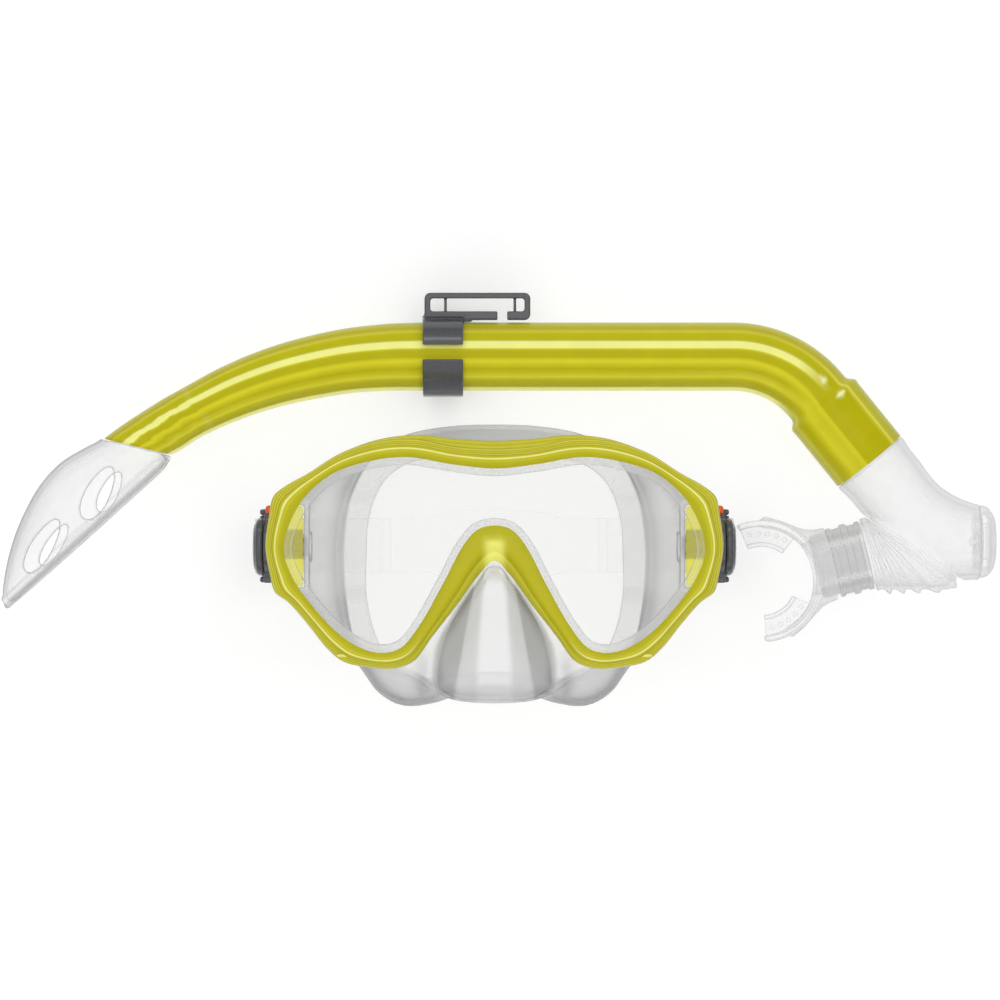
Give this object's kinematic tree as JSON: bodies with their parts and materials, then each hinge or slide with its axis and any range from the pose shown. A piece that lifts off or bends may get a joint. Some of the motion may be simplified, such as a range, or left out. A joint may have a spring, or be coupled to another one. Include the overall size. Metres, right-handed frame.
{
  "type": "snorkel mask",
  "caption": "Single-lens diving mask with a translucent silicone skirt, laid beside its J-shaped snorkel with splash guard, keeper clip and mouthpiece.",
  "frame": {"origin": "centre of the set's box at the level of the surface that it lies on", "axes": "+X towards the snorkel's lower chamber, +Y from the nose pocket to the brow, +Z the way the lens faces"},
  "size_m": [0.3611, 0.1507, 0.058],
  "materials": {
    "yellow_plastic": "glossy translucent tinted plastic",
    "clear_plastic": "glossy clear moulded plastic",
    "lens_glass": "polished tempered glass",
    "clear_silicone": "translucent moulded silicone",
    "grey_plastic": "satin moulded plastic",
    "orange_plastic": "satin moulded plastic"
  },
  "bodies": {
    "mask": {"front_bezel": "yellow_plastic", "rear_frame": "yellow_plastic", "lens": "lens_glass", "skirt": "clear_silicone", "strap": "clear_silicone", "swivel_pin_left": "grey_plastic", "swivel_pin_right": "grey_plastic"},
    "buckle_left": {"buckle_body_left": "grey_plastic", "buckle_cap_left": "grey_plastic"},
    "release_left": {"release_button_left": "orange_plastic"},
    "roller_left": {"strap_roller_left": "grey_plastic"},
    "buckle_right": {"buckle_body_right": "grey_plastic", "buckle_cap_right": "grey_plastic"},
    "release_right": {"release_button_right": "orange_plastic"},
    "roller_right": {"strap_roller_right": "grey_plastic"},
    "snorkel": {"barrel": "yellow_plastic", "splash_guard": "clear_plastic"},
    "keeper": {"keeper_clip": "grey_plastic"},
    "chamber": {"lower_chamber": "clear_plastic", "purge_seat": "clear_plastic", "purge_cover": "clear_plastic", "flex_neck": "clear_silicone"},
    "valve": {"purge_valve": "clear_silicone"},
    "connector": {"mouthpiece_connector": "clear_plastic"},
    "mouthpiece": {"mouthpiece": "clear_silicone"}
  },
  "joints": [
    {"name": "snorkel_lift", "type": "slide", "parent": "mask", "child": "snorkel", "axis": [0, 0, 1], "range_m": [0, 0.12]},
    {"name": "keeper_slide", "type": "slide", "parent": "snorkel", "child": "keeper", "axis": [1, 0, 0], "range_m": [0, 0.09]},
    {"name": "chamber_turn", "type": "hinge", "parent": "snorkel", "child": "chamber", "pos_m": [0.13468, 0.01373, 0.0148], "axis": [0.6293, -0.7771, 0], "continuous": true},
    {"name": "neck_flex", "type": "hinge", "parent": "chamber", "child": "connector", "pos_m": [0.13385, -0.009, 0.0148], "axis": [0, 0, 1], "range_deg": [-12, 15], "stiffness_Nm_per_rad": 0.1, "deforming": ["flex_neck"]},
    {"name": "mouthpiece_turn", "type": "hinge", "parent": "connector", "child": "mouthpiece", "pos_m": [0.12195, -0.02325, 0.0148], "axis": [-0.971, -0.239, 0], "continuous": true},
    {"name": "purge_valve_lift", "type": "slide", "parent": "chamber", "child": "valve", "axis": [1, 0, 0], "range_m": [0, 0.0014], "stiffness_N_per_m": 15},
    {"name": "buckle_swivel_left", "type": "hinge", "parent": "mask", "child": "buckle_left", "pos_m": [-0.08515, -0.0173, 0.029], "axis": [1, 0, 0], "range_deg": [-15, 15], "deforming": ["strap"]},
    {"name": "release_press_left", "type": "slide", "parent": "buckle_left", "child": "release_left", "axis": [0, -1, 0], "range_m": [0, 0.0015], "stiffness_N_per_m": 300},
    {"name": "roller_turn_left", "type": "hinge", "parent": "buckle_left", "child": "roller_left", "pos_m": [-0.08575, -0.017, 0.016], "axis": [0, 1, 0], "continuous": true},
    {"name": "buckle_swivel_right", "type": "hinge", "parent": "mask", "child": "buckle_right", "pos_m": [0.08085, -0.0173, 0.029], "axis": [1, 0, 0], "range_deg": [-15, 15], "deforming": ["strap"]},
    {"name": "release_press_right", "type": "slide", "parent": "buckle_right", "child": "release_right", "axis": [0, -1, 0], "range_m": [0, 0.0015], "stiffness_N_per_m": 300},
    {"name": "roller_turn_right", "type": "hinge", "parent": "buckle_right", "child": "roller_right", "pos_m": [0.08145, -0.017, 0.016], "axis": [0, 1, 0], "continuous": true}
  ]
}
